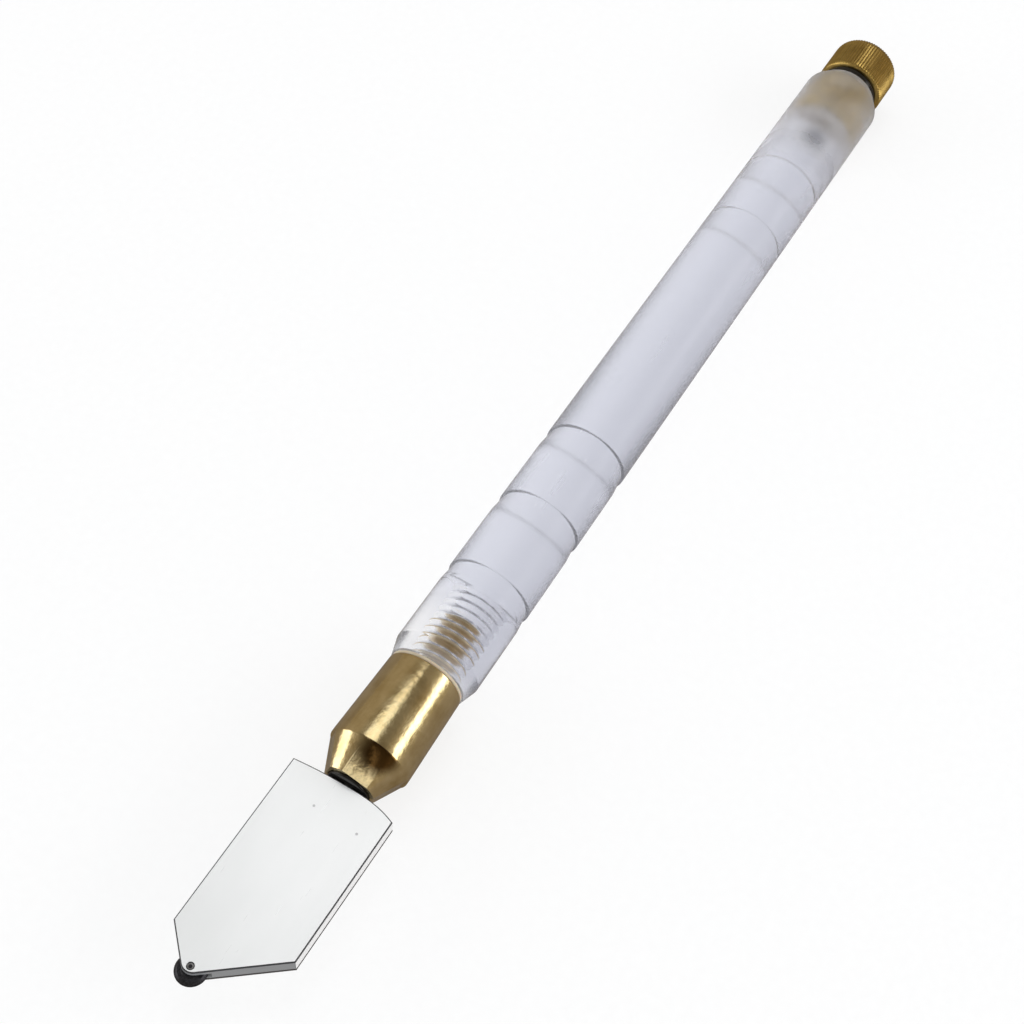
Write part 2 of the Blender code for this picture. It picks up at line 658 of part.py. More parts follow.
def make_cap_o_ring(black_rubber):
    front = BARREL_REAR_X + RUNNING_GAP
    rear = CAP_FRONT_X - RUNNING_GAP
    inner, outer = CAP_RING_RADII
    rounding = (rear - front) / 4
    rings = [
        (front, outer - rounding),
        (front + rounding, outer),
        (rear - rounding, outer),
        (rear, outer - rounding),
        (rear, inner),
        (front, inner),
    ]
    return add_turned("cap_o_ring", rings, BARREL_COLUMNS, front, black_rubber, loop=True)


# ---------------------------------------------------------------- assembly

def clear_scene():
    for item in list(bpy.data.objects):
        bpy.data.objects.remove(item)


def build():
    clear_scene()
    clear = plain_material("clear_acrylic", (0.80, 0.80, 0.85), 0.0, 0.08, transmission=1.0)
    brass = plain_material("brass", (0.62, 0.48, 0.22), 1.0, 0.30)
    old_brass = plain_material("knurled_brass", (0.42, 0.29, 0.09), 1.0, 0.38)
    polished_steel = plain_material("polished_steel", (0.85, 0.86, 0.86), 1.0, 0.20)
    carbide = plain_material("dark_carbide", (0.03, 0.03, 0.035), 0.6, 0.35)
    bronze = plain_material("bronze", (0.50, 0.34, 0.16), 1.0, 0.35)
    black_rubber = plain_material("black_rubber", (0.015, 0.015, 0.015), 0.0, 0.45)
    grey_rubber = plain_material("grey_rubber", (0.25, 0.25, 0.26), 0.0, 0.60)
    pale_plastic = plain_material("pale_plastic", (0.80, 0.76, 0.66), 0.0, 0.45)
    nylon = plain_material("nylon", (0.85, 0.85, 0.80), 0.0, 0.50)
    felt = plain_material("felt", (0.75, 0.72, 0.65), 0.0, 0.95)

    make_handle(clear)
    make_front_gasket(pale_plastic)
    make_holder(brass)
    make_slide_bush(bronze)
    make_lock_screw(polished_steel)
    make_lock_pellet(nylon)
    make_head_spring(polished_steel)
    make_head_plate(polished_steel)
    make_wheel_axle(polished_steel)
    make_cutter_wheel(carbide)
    make_head_stem(polished_steel)
    make_retaining_clip(polished_steel)
    make_oil_wick(felt)
    make_neck_o_ring(black_rubber)
    make_valve_ball(polished_steel)
    make_valve_spring(polished_steel)
    make_spring_retainer(brass)
    make_cap(old_brass)
    make_cap_plug_seal(grey_rubber)
    make_cap_o_ring(black_rubber)


build()
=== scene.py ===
"""The looks of the glass cutter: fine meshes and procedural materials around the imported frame."""

import math

import bmesh
import bpy
import numpy as np
from mathutils import Matrix, Vector


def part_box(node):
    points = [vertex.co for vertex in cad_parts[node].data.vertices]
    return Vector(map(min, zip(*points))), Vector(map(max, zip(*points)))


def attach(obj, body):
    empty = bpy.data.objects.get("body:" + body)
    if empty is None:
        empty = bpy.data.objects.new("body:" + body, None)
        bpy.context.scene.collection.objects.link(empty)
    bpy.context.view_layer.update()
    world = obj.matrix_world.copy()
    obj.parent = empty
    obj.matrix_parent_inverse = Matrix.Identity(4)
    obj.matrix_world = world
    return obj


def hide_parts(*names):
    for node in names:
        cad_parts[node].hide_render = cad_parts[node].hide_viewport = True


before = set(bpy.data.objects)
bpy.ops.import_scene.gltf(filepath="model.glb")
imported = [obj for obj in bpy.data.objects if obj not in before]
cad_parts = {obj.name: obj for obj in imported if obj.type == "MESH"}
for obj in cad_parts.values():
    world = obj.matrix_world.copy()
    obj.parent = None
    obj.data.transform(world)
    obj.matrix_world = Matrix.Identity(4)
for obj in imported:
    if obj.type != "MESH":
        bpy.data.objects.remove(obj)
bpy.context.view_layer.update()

MM = 0.001


# ---------------------------------------------------------------- places, taken from the frame

def middle(node):
    low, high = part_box(node)
    return (low + high) / 2


BARREL_LOW, BARREL_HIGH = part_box("handle")
HOLDER_LOW, HOLDER_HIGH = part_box("holder")
CAP_LOW, CAP_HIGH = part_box("cap")
WHEEL_LOW, WHEEL_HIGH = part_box("cutter_wheel")
PLATE_LOW, PLATE_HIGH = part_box("head_plate")
AXIS_Z = (BARREL_LOW.z + BARREL_HIGH.z) / 2
BARREL_FRONT = BARREL_LOW.x
BARREL_REAR = BARREL_HIGH.x
BARREL_RADIUS = (BARREL_HIGH.z - BARREL_LOW.z) / 2
NOSE_FRONT = HOLDER_LOW.x
STUB_REAR = HOLDER_HIGH.x
PLUG_PIN_FRONT = CAP_LOW.x
CAP_REAR = CAP_HIGH.x
CAP_RADIUS = (CAP_HIGH.z - CAP_LOW.z) / 2
WHEEL_CENTRE = middle("cutter_wheel")
WHEEL_RADIUS = (WHEEL_HIGH.x - WHEEL_LOW.x) / 2

UPWARD = (0.0, 0.0, 1.0)
REARWARD = (1.0, 0.0, 0.0)

# Edges that turn more than this many degrees are drawn sharp
SHARP_EDGE = 35.0
SHARP_FLAT = 20.0
SHARP_PLATE = 10.0
SHARP_FLUTE = 50.0

# Clear barrel. A chamfer is its length and depth, and a haze is its start and end.
BARREL_COLUMNS = 128
RESERVOIR_RADIUS = 3.8 * MM
FRONT_CHAMFER = (2.3 * MM, 0.7 * MM)
REAR_CHAMFER = (2.0 * MM, 1.2 * MM)
GRIP_GROOVES = [BARREL_FRONT + reach * MM for reach in (14.45, 27.05, 39.55)]
GRIP_RISE = 2.5 * MM
GRIP_DEPTH = 0.3 * MM
GRIP_CREASE = 0.03 * MM
GRIP_STEP = 0.12 * MM
MARK_GROOVES = [BARREL_FRONT + reach * MM for reach in (86.35, 98.75)]
MARK_WIDTH = 0.5 * MM
MARK_DEPTH = 0.16 * MM
FRONT_FROST = (BARREL_FRONT, BARREL_FRONT + 2.4 * MM)
# Painted light: the barrel's tint is painted paler over this stretch at its front left
FRONT_PAINTED_LIGHT = (BARREL_FRONT + 4.0 * MM, BARREL_FRONT + 15.0 * MM)
REAR_FROST = (BARREL_REAR - 18.0 * MM, BARREL_REAR - 11.0 * MM)
# Painted shade: a grey patch on the barrel's top, where the plug's end face shows through in shade
PLUG_SHADE_PATCH_CENTRE = (BARREL_REAR - 16.85 * MM, -1.6 * MM, AXIS_Z + BARREL_RADIUS)
PLUG_SHADE_PATCH_REACH = 4.3 * MM
ACRYLIC_IOR = 1.49
WETTED_IOR = 1.03

# Threads: mean radius, half height and pitch. The barrel's front thread is drawn shallow, so
# that it hides less of the brass stub.
FRONT_THREAD = (2.35 * MM, 0.27 * MM, 1.15 * MM)
TAPPED_THREAD = (2.35 * MM, 0.115 * MM, 1.15 * MM)
REAR_THREAD = (3.5 * MM, 0.22 * MM, 1.0 * MM)
FRONT_THREAD_LENGTH = 12.2 * MM
REAR_THREAD_LENGTH = 9.95 * MM
THREAD_PLAY = 0.1 * MM
THREAD_ROWS = 10
THREAD_RUN_OUT = 0.8
THREAD_FLATNESS = 1.8

# Brass holder, whose nose is a cone with four milled flats. The valve seat is its front and rear.
HOLDER_COLUMNS = 128
HOLDER_RADIUS = 5.55 * MM
HOLDER_REAR = BARREL_FRONT - 0.6 * MM
HOLDER_REAR_RADIUS = 5.2 * MM
SHOULDER = NOSE_FRONT + 4.35 * MM
NOSE_RADIUS = 3.66 * MM
NOSE_FLATS = 4
NOSE_FLAT_WIDTH = 3.6 * MM
NOSE_FLAT_TURN = math.radians(106)
NOSE_BORE_RADIUS = 3.0 * MM
NOSE_BORE_DEPTH = 0.9 * MM
SOCKET_RADIUS = 2.7 * MM
SEAT = (NOSE_FRONT + 11.45 * MM, NOSE_FRONT + 12.85 * MM)
SEAT_HOLE_RADIUS = 0.9 * MM
VALVE_BORE_RADIUS = 1.45 * MM
SCREW_HOLE_PLAY = 0.1 * MM
SCREW_HOLE_DROP = 1.3 * MM
# Painted shade on the nose: a dark brown patch at the top of a flat, by the shoulder step
NOSE_SHADE_CENTRE = (NOSE_FRONT + 3.6 * MM, -2.3 * MM, AXIS_Z + 4.8 * MM)
NOSE_SHADE_REACH = 3.7 * MM
BRASS_STREAKS = 0.35

# Head plate: its unrounded apex, where its slopes end, and where its crowned rear starts
PLATE_APEX = Vector((WHEEL_CENTRE.x - 1.3 * MM, WHEEL_CENTRE.y + 0.2 * MM))
PLATE_TIP_ROUND = 1.5 * MM
PLATE_LEFT_SHOULDER = WHEEL_CENTRE.x + 3.4 * MM
PLATE_RIGHT_SHOULDER = WHEEL_CENTRE.x + 6.5 * MM
PLATE_LEFT_TOP = NOSE_FRONT - 0.85 * MM
PLATE_RIGHT_TOP = NOSE_FRONT - 1.55 * MM
PLATE_CROWN_POWER = 2.6
PLATE_EDGE = 0.16 * MM
PLATE_NICKS = (
    (PLATE_LEFT_TOP - 3.85 * MM, 1.7 * MM, PLATE_HIGH.z),
    (PLATE_LEFT_TOP - 4.15 * MM, -4.5 * MM, PLATE_HIGH.z),
)
# How far up the plate's painted shade along its lower rim reaches
PLATE_SHADED_RIM = 0.65 * MM
STEM_SOCKET_RADIUS = 1.15 * MM
STEM_SOCKET_MARGIN = 0.15 * MM
DRILL_LENGTH = 8.0 * MM

# Wheel and axle. The slot in the plate is its radius and width.
WHEEL_SLOT = (2.4 * MM, 1.3 * MM)
WHEEL_BORE_RADIUS = 0.5 * MM
WHEEL_HUB_RADIUS = 1.1 * MM
WHEEL_HUB_STEP = 0.06 * MM
WHEEL_BEVEL = 0.42 * MM
AXLE_MARK_RADIUS = 0.24 * MM

# Cap. The dish in its end is its rim's radius, its floor's radius and its depth.
CAP_FRONT = BARREL_REAR + 1.4 * MM
CAP_FLUTES = 72
CAP_FLUTE_DEPTH = 0.15 * MM
CAP_EDGE_ROUND = 1.2 * MM
CAP_EDGE_STEPS = 6
CAP_DISH = (3.6 * MM, 3.3 * MM, 0.12 * MM)
PLUG_FRONT = PLUG_PIN_FRONT + 0.7 * MM
PLUG_PIN_RADIUS = 0.8 * MM

# The smallest ring of a turned body that has no bore
CENTRE_RADIUS = 0.02 * MM

# Floor, whose white glow is mostly lost in what shines
FLOOR_SIZE = 4.0
FLOOR_DROP = 0.05 * MM
FLOOR_GLOW = 0.77
FLOOR_GLOW_LOST = 0.9

# Camera, at the photograph's angle
CAMERA_PLACE = Vector((-133.7, -53.65, 206.2)) * MM
CAMERA_AIM = Vector((-14.97, 3.72, 6.0)) * MM
CAMERA_ROLL = math.radians(6.1)
CAMERA_LENS_MM = 64.0


# ---------------------------------------------------------------- mesh tools

def object_from(name, bm, material, body, sharp_angle=SHARP_EDGE):
    """A finished piece that rides on a CAD body."""
    bmesh.ops.recalc_face_normals(bm, faces=bm.faces)
    mesh = bpy.data.meshes.new(name)
    bm.to_mesh(mesh)
    bm.free()
    mesh.materials.append(material)
    mesh.shade_smooth()
    mesh.set_sharp_from_angle(angle=math.radians(sharp_angle))
    piece = bpy.data.objects.new(name, mesh)
    bpy.context.scene.collection.objects.link(piece)
    if body:
        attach(piece, body)
    return piece


def turned(rings, columns, loop=True, place=(0.0, 0.0, 0.0)):
    """A body of revolution about X through place. A ring is (x, radius), with x counted from
    place, and its radius may be a function of an array of angles."""
    angles = np.arange(columns) * (math.tau / columns)
    bm = bmesh.new()
    rows = []
    for x, radius in rings:
        reach = radius(angles) if callable(radius) else np.full(columns, radius)
        across = place[1] + reach * np.cos(angles)
        upward = place[2] + reach * np.sin(angles)
        rows.append([bm.verts.new((place[0] + x, y, z)) for y, z in zip(across, upward)])
    pairs = list(zip(rows, rows[1:]))
    if loop:
        pairs.append((rows[-1], rows[0]))
    for first, second in pairs:
        for column in range(columns):
            after = (column + 1) % columns
            bm.faces.new((first[column], second[column], second[after], first[after]))
    if not loop:
        bm.faces.new(rows[0])
        bm.faces.new(tuple(reversed(rows[-1])))
    return bm


def on_axis(rings, columns, loop=True):
    """A body of revolution about the tool's axis."""
    return turned(rings, columns, loop, (0.0, 0.0, AXIS_Z))


def rounded(points, radius, steps=3):
    """A profile whose inner corners are replaced by short arcs."""
    path = [Vector(points[0])]
    for before, corner, after in zip(points, points[1:], points[2:]):
        before, corner, after = Vector(before), Vector(corner), Vector(after)
        reach = min(radius, (corner - before).length * 0.45, (after - corner).length * 0.45)
        start = corner + (before - corner).normalized() * reach
        end = corner + (after - corner).normalized() * reach
        for step in range(steps + 1):
            share = step / steps
            first = start.lerp(corner, share)
            second = corner.lerp(end, share)
            path.append(first.lerp(second, share))
    path.append(Vector(points[-1]))
    return [tuple(point) for point in path]


def thread_rings(front, rear, thread, shift, end_radius):
    """A right-hand thread with flattened crests, which runs out to end_radius at both ends."""
    mean, height, pitch = thread
    count = round((rear - front) / pitch * THREAD_ROWS)
    rings = []
    for row in range(count + 1):
        x = front + (rear - front) * row / count
        from_end = min(1.0, min(x - front, rear - x) / (THREAD_RUN_OUT * pitch))
        fade = from_end**2 * (3 - 2 * from_end)

        def radius(angles, x=x, fade=fade):
            wave = np.tanh(THREAD_FLATNESS * np.cos(math.tau * x / pitch - angles))
            ridge = height * wave / math.tanh(THREAD_FLATNESS)
            return end_radius + fade * (mean + shift + ridge - end_radius)

        rings.append((x, radius))
    return rings


def cylinder(radius, length, columns, axis, centre):
    """A closed cylinder along axis, as a cutter."""
    bm = bmesh.new()
    turn = Vector(UPWARD).rotation_difference(Vector(axis)).to_matrix().to_4x4()
    bmesh.ops.create_cone(
        bm,
        cap_ends=True,
        segments=columns,
        radius1=radius,
        radius2=radius,
        depth=length,
        matrix=Matrix.Translation(Vector(centre)) @ turn,
    )
    return bm


def cut(piece, cutter_mesh, sharp_angle):
    """Takes a closed shape out of piece, and leaves no modifier and no cutter behind."""
    cutter = object_from("cutter", cutter_mesh, piece.data.materials[0], None)
    modifier = piece.modifiers.new("cut", "BOOLEAN")
    modifier.operation = "DIFFERENCE"
    modifier.solver = "EXACT"
    modifier.object = cutter
    apply_modifiers(piece, sharp_angle)
    bpy.data.objects.remove(cutter)


def apply_modifiers(piece, sharp_angle):
    graph = bpy.context.evaluated_depsgraph_get()
    made = bpy.data.meshes.new_from_object(piece.evaluated_get(graph))
    piece.modifiers.clear()
    piece.data = made
    made.shade_smooth()
    made.set_sharp_from_angle(angle=math.radians(sharp_angle))


# ---------------------------------------------------------------- material tools

def fill_ramp(ramp, stops):
    """Gives a colour ramp its (position, colour or grey) stops."""
    while len(ramp.elements) < len(stops):
        ramp.elements.new(0.5)
    for element, (position, colour) in zip(ramp.elements, stops):
        grey = isinstance(colour, (int, float))
        element.position = position
        element.color = (colour, colour, colour, 1.0) if grey else (*colour, 1.0)


class Nodes:
    """A material's node tree, with short calls for the nodes used here."""

    def __init__(self, name):
        self.material = bpy.data.materials.new(name)
        self.material.use_nodes = True
        self.tree = self.material.node_tree
        self.shader = self.tree.nodes["Principled BSDF"]
        self.output = self.tree.nodes["Material Output"]

    def node(self, kind, **settings):
        made = self.tree.nodes.new("ShaderNode" + kind)
        for key, value in settings.items():
            setattr(made, key, value)
        return made

    def link(self, source, target):
        self.tree.links.new(source, target)

    def put(self, name, value):
        if isinstance(value, bpy.types.NodeSocket):
            self.link(value, self.shader.inputs[name])
        else:
            self.shader.inputs[name].default_value = value

    def place(self, scale=(1.0, 1.0, 1.0)):
        """Object coordinates, in the row frame, stretched by scale."""
        mapping = self.node("Mapping")
        mapping.inputs["Scale"].default_value = scale
        self.link(self.node("TexCoord").outputs["Object"], mapping.inputs["Vector"])
        return mapping.outputs["Vector"]

    def xyz(self, coordinates="Object"):
        """The x, y and z of a kind of coordinates, each on its own."""
        parts = self.node("SeparateXYZ")
        self.link(self.node("TexCoord").outputs[coordinates], parts.inputs[0])
        return tuple(parts.outputs)

    def distance(self, point, scale=(1.0, 1.0, 1.0)):
        """How far the object coordinates, stretched by scale, lie from point."""
        made = self.node("VectorMath", operation="DISTANCE")
        self.link(self.place(scale), made.inputs[0])
        made.inputs[1].default_value = point
        return made.outputs["Value"]

    def noise(self, scale, detail, roughness=0.55):
        """Cloudy noise, whose cells are about a metre over scale in size."""
        made = self.node("TexNoise")
        made.inputs["Scale"].default_value = 1.0
        made.inputs["Detail"].default_value = detail
        made.inputs["Roughness"].default_value = roughness
        self.link(self.place(scale), made.inputs["Vector"])
        return made.outputs["Fac"]

    def ramp(self, fac, stops):
        """Maps a value through (position, colour or grey) stops."""
        made = self.node("ValToRGB")
        fill_ramp(made.color_ramp, stops)
        self.link(fac, made.inputs["Fac"])
        return made.outputs["Color"]

    def maths(self, operation, first, second=None, third=None, clamp=False):
        made = self.node("Math", operation=operation, use_clamp=clamp)
        for socket, value in zip(made.inputs, (first, second, third)):
            if isinstance(value, bpy.types.NodeSocket):
                self.link(value, socket)
            elif value is not None:
                socket.default_value = value
        return made.outputs[0]

    def mix(self, fac, first, second):
        """A colour that goes from first to second."""
        made = self.node("Mix", data_type="RGBA")
        for index, value in ((0, fac), (6, first), (7, second)):
            if isinstance(value, bpy.types.NodeSocket):
                self.link(value, made.inputs[index])
            elif index == 0:
                made.inputs[index].default_value = value
            else:
                made.inputs[index].default_value = (*value, 1.0)
        return made.outputs[2]

    def step(self, value, start, end):
        """A soft step from 0 at start to 1 at end."""
        made = self.node("MapRange", interpolation_type="SMOOTHSTEP")
        self.link(value, made.inputs["Value"])
        low, high = min(start, end), max(start, end)
        made.inputs["From Min"].default_value = low
        made.inputs["From Max"].default_value = high
        made.inputs["To Min"].default_value = 0.0 if start < end else 1.0
        made.inputs["To Max"].default_value = 1.0 if start < end else 0.0
        return made.outputs["Result"]

    def blend(self, fac, first, second):
        """A shader that goes from first to second."""
        made = self.node("MixShader")
        self.link(fac, made.inputs[0])
        self.link(first.outputs[0], made.inputs[1])
        self.link(second.outputs[0], made.inputs[2])
        return made

    def bump(self, height, distance):
        made = self.node("Bump")
        made.inputs["Strength"].default_value = 1.0
        made.inputs["Distance"].default_value = distance
        self.link(height, made.inputs["Height"])
        self.link(made.outputs["Normal"], self.shader.inputs["Normal"])

    def axis_distance(self):
        """How far a point lies from the tool's axis."""
        across, upward = self.xyz()[1:]
        height = self.maths("SUBTRACT", upward, AXIS_Z)
        squares = self.maths("MULTIPLY_ADD", across, across, self.maths("MULTIPLY", height, height))
        return self.maths("SQRT", squares)


# ---------------------------------------------------------------- materials

def acrylic_tint_and_painted_light(n, along, across):
    """A faint lilac cast, greyer on the right as painted shade and paler at the front left as painted
    light; paler in thin clouds too.
    """
    # Painted shade: the tint is painted darker and greyer towards the right side
    lilac = n.mix(n.step(across, -4.0 * MM, 2.0 * MM), (0.475, 0.485, 0.56), (0.66, 0.675, 0.755))
    # Painted light: the tint is painted paler at the front left
    front = n.step(along, FRONT_PAINTED_LIGHT[1], FRONT_PAINTED_LIGHT[0])
    front_left_painted_light = n.maths("MULTIPLY", front, n.step(across, 0.0, 4.0 * MM))
    clouds = n.maths("MULTIPLY", n.noise((45.0, 160.0, 160.0), 2.0), 0.12)
    return n.mix(n.maths("MAXIMUM", front_left_painted_light, clouds), lilac, (1.0, 1.0, 1.0))


def acrylic_frost(n, along):
    """The matt layer on the barrel's outside: haze at the front edge, patchy frost at the rear and
    one grey patch of painted shade, where the plug's shaded end face shows through. Gives its
    amount and its shader."""
    front = n.step(along, FRONT_FROST[1], FRONT_FROST[0])
    rear = n.step(along, REAR_FROST[0], REAR_FROST[1])
    patchy = n.ramp(n.noise((180.0, 180.0, 180.0), 2.0), [(0.35, 0.12), (0.65, 0.36)])
    amount = n.maths("MULTIPLY_ADD", front, 0.25, n.maths("MULTIPLY", rear, patchy))
    # Painted shade: a grey patch standing in for the plug's shaded end face seen through the wall
    plug_shade_patch = n.step(n.distance(PLUG_SHADE_PATCH_CENTRE), PLUG_SHADE_PATCH_REACH, 0.3 * MM)
    amount = n.maths("MULTIPLY_ADD", plug_shade_patch, 0.62, amount)
    frost = n.node("BsdfDiffuse")
    colour = n.mix(front, (0.58, 0.57, 0.56), (0.85, 0.85, 0.87))
    n.link(n.mix(plug_shade_patch, colour, (0.16, 0.16, 0.17)), frost.inputs["Color"])
    return amount, frost


def clear_acrylic():
    """Clear plastic. The oil that wets the drilled reservoir hides its wall, the dry front thread
    stays sharp, and both ends are frosted. Soft light and shadows pass straight through."""
    n = Nodes("clear_acrylic")
    along, across = n.xyz()[:2]
    in_bore = n.maths("LESS_THAN", n.axis_distance(), RESERVOIR_RADIUS + 0.3 * MM)
    past_thread = n.maths("GREATER_THAN", along, BARREL_FRONT + FRONT_THREAD_LENGTH)
    wetted = n.maths("MULTIPLY", in_bore, past_thread)
    n.put("IOR", n.maths("MULTIPLY_ADD", wetted, WETTED_IOR - ACRYLIC_IOR, ACRYLIC_IOR))
    satin = n.maths("MULTIPLY_ADD", n.noise((60.0, 500.0, 500.0), 3.0), 0.08, 0.08)
    satin = n.maths("MULTIPLY_ADD", n.maths("MAXIMUM", past_thread, in_bore), 0.14, satin)
    rear_frost = n.step(along, REAR_FROST[0], REAR_FROST[1])
    n.put("Roughness", n.maths("MULTIPLY_ADD", rear_frost, 0.28, satin, clamp=True))
    n.put("Base Color", n.mix(in_bore, acrylic_tint_and_painted_light(n, along, across), (1.0, 1.0, 1.0)))
    n.put("Transmission Weight", 1.0)
    n.put("Specular Tint", (0.2, 0.2, 0.2, 1.0))
    n.bump(n.noise((60.0, 160.0, 160.0), 1.0), 0.006 * MM)
    amount, frost = acrylic_frost(n, along)
    outside = n.maths("SUBTRACT", 1.0, in_bore)
    frosted = n.blend(n.maths("MULTIPLY", amount, outside), n.shader, frost)
    path = n.node("LightPath")
    passes = n.maths("MAXIMUM", path.outputs["Is Shadow Ray"], path.outputs["Is Diffuse Ray"])
    open_shader = n.node("BsdfTransparent")
    open_shader.inputs["Color"].default_value = (0.97, 0.97, 0.98, 1.0)
    n.link(n.blend(passes, frosted, open_shader).outputs[0], n.output.inputs["Surface"])
    return n.material


def brass(name, light, dark, roughness, holder_painted_light=False):
    """Turned brass: lengthwise handling streaks, tarnish spots, fine tool rings and shallow
    dents. For the holder, a dark brown patch of painted shade lies by the step at the top of a
    nose flat, and its threaded stub is painted a pale, dull tan as painted light, for how it is
    lit through the barrel."""
    n = Nodes(name)
    blotches = n.noise((350.0, 350.0, 350.0), 5.0, 0.6)
    spots = n.maths("MULTIPLY", blotches, 1 - BRASS_STREAKS)
    tone = n.maths("MULTIPLY_ADD", n.noise((30.0, 900.0, 900.0), 3.0), BRASS_STREAKS, spots)
    colour = n.ramp(tone, [(0.32, dark), (0.58, light)])
    rough = n.maths("MULTIPLY_ADD", blotches, 0.18, roughness - 0.09)
    if holder_painted_light:
        along = n.xyz()[0]
        # Painted shade: dark brown at the top of the nose flat, by the shoulder step
        offset = n.maths("MULTIPLY_ADD", blotches, 0.8 * MM, n.distance(NOSE_SHADE_CENTRE))
        on_nose = n.maths("LESS_THAN", along, SHOULDER + 0.1 * MM)
        nose_painted_shade = n.maths("MULTIPLY", n.step(offset, NOSE_SHADE_REACH, NOSE_SHADE_REACH / 2), on_nose)
        # Painted light: the threaded stub is painted a pale tan for how it is lit through the barrel; it
        # is also rougher
        on_stub = n.maths("GREATER_THAN", along, HOLDER_REAR)
        colour = n.mix(nose_painted_shade, colour, (0.12, 0.065, 0.02))
        colour = n.mix(on_stub, colour, (0.64, 0.52, 0.33))
        rough = n.maths("MULTIPLY_ADD", on_stub, 0.25, rough)
    n.put("Base Color", colour)
    n.put("Metallic", 1.0)
    n.put("Roughness", rough)
    rings = n.noise((9000.0, 200.0, 200.0), 2.0)
    dents = n.noise((1100.0, 1100.0, 1100.0), 2.0)
    n.bump(n.maths("MULTIPLY_ADD", dents, 8.0, rings), 0.004 * MM)
    return n.material


def steel(name, tone, roughness):
    """Ground steel with fine scratches along the tool."""
    n = Nodes(name)
    lines = n.noise((250.0, 9000.0, 9000.0), 3.0)
    clouds = n.noise((90.0, 90.0, 90.0), 3.0)
    n.put("Base Color", n.ramp(clouds, [(0.3, tuple(0.93 * value for value in tone)), (0.7, tone)]))
    n.put("Metallic", 1.0)
    n.put("Roughness", n.maths("MULTIPLY_ADD", lines, 0.14, roughness - 0.07))
    n.bump(lines, 0.003 * MM)
    return n.material


def axle_steel():
    """The riveted axle's end: grey, with a dark centre mark."""
    n = Nodes("axle_steel")
    rim = n.ramp(n.noise((2500.0, 2500.0, 2500.0), 2.0), [(0.3, 0.22), (0.7, 0.34)])
    offset = n.distance((WHEEL_CENTRE.x, WHEEL_CENTRE.y, 0.0), (1.0, 1.0, 0.0))
    mark = n.maths("LESS_THAN", offset, AXLE_MARK_RADIUS)
    n.put("Base Color", n.mix(mark, rim, (0.03, 0.03, 0.035)))
    n.put("Metallic", 0.8)
    n.put("Roughness", 0.4)
    return n.material


def plate_face(n):
    """The plate's near-white ground face, with a soft grey sweep and two small nicks."""
    clouds = n.noise((38.0, 60.0, 60.0), 2.0)
    face = n.ramp(clouds, [(0.3, (0.86, 0.88, 0.88)), (0.7, (0.94, 0.955, 0.96))])
    for place in PLATE_NICKS:
        near = n.maths("LESS_THAN", n.distance(place), n.maths("MULTIPLY", clouds, 0.28 * MM))
        face = n.mix(near, face, (0.55, 0.55, 0.56))
    return face


def plate_steel():
    """The head plate: a pale face, with painted shade on the rest: dark bevels, grey sides and a
    black lower rim. The side to the right has painted light instead: it is white. The normals are
    the piece's own, so that the tones turn with the head."""
    n = Nodes("plate_steel")
    to_left, upward = n.xyz("Normal")[1:]
    steepness = n.maths("ABSOLUTE", upward)
    # Painted light and shade: the side facing right is painted white, the other sides grey
    side = n.mix(n.maths("LESS_THAN", to_left, -0.93), (0.30, 0.31, 0.32), (1.0, 1.0, 1.0))
    # Painted shade: the bevelled edges are painted dark
    edge = n.mix(n.maths("GREATER_THAN", steepness, 0.15), side, (0.05, 0.05, 0.055))
    # Painted shade: black along the plate's lower rim
    low_rim_painted_shade = n.maths("LESS_THAN", n.xyz()[2], PLATE_LOW.z + PLATE_SHADED_RIM)
    edge = n.mix(low_rim_painted_shade, edge, (0.02, 0.02, 0.025))
    on_face = n.maths("GREATER_THAN", steepness, 0.98)
    lines = n.noise((150.0, 5200.0, 5200.0), 3.0)
    n.put("Base Color", n.mix(on_face, edge, plate_face(n)))
    n.put("Metallic", n.maths("MULTIPLY", on_face, 0.35))
    n.put("Roughness", n.maths("MULTIPLY_ADD", lines, 0.12, 0.24))
    n.bump(lines, 0.0015 * MM)
    return n.material


def carbide():
    """Dark sintered carbide with a finely ground rim."""
    n = Nodes("dark_carbide")
    grain = n.noise((6000.0, 6000.0, 6000.0), 2.0)
    n.put("Base Color", n.ramp(grain, [(0.3, (0.018, 0.018, 0.022)), (0.7, (0.05, 0.05, 0.058))]))
    n.put("Metallic", 0.7)
    n.put("Roughness", n.maths("MULTIPLY_ADD", grain, 0.2, 0.28))
    n.bump(grain, 0.004 * MM)
    return n.material


def rubber(name, dark, light, roughness):
    """Moulded rubber with a fine grain and a slight bloom."""
    n = Nodes(name)
    grain = n.noise((3500.0, 3500.0, 3500.0), 3.0)
    bloom = n.noise((400.0, 400.0, 400.0), 3.0)
    warm = ((tone, 0.9 * tone, 0.8 * tone) for tone in (dark, light))
    n.put("Base Color", n.ramp(bloom, list(zip((0.35, 0.75), warm))))
    n.put("Roughness", n.maths("MULTIPLY_ADD", bloom, 0.2, roughness - 0.1))
    n.put("Specular IOR Level", 0.3)
    n.bump(grain, 0.006 * MM)
    return n.material


def plastic(name, colour, roughness):
    """Moulded plastic with faint flow marks."""
    n = Nodes(name)
    flow = n.noise((300.0, 700.0, 700.0), 3.0)
    darker = tuple(0.86 * value for value in colour)
    n.put("Base Color", n.ramp(flow, [(0.3, darker), (0.7, colour)]))
    n.put("Roughness", n.maths("MULTIPLY_ADD", flow, 0.15, roughness - 0.07))
    n.put("Subsurface Weight", 0.15)
    n.put("Subsurface Scale", 0.5 * MM)
    n.bump(flow, 0.005 * MM)
    return n.material


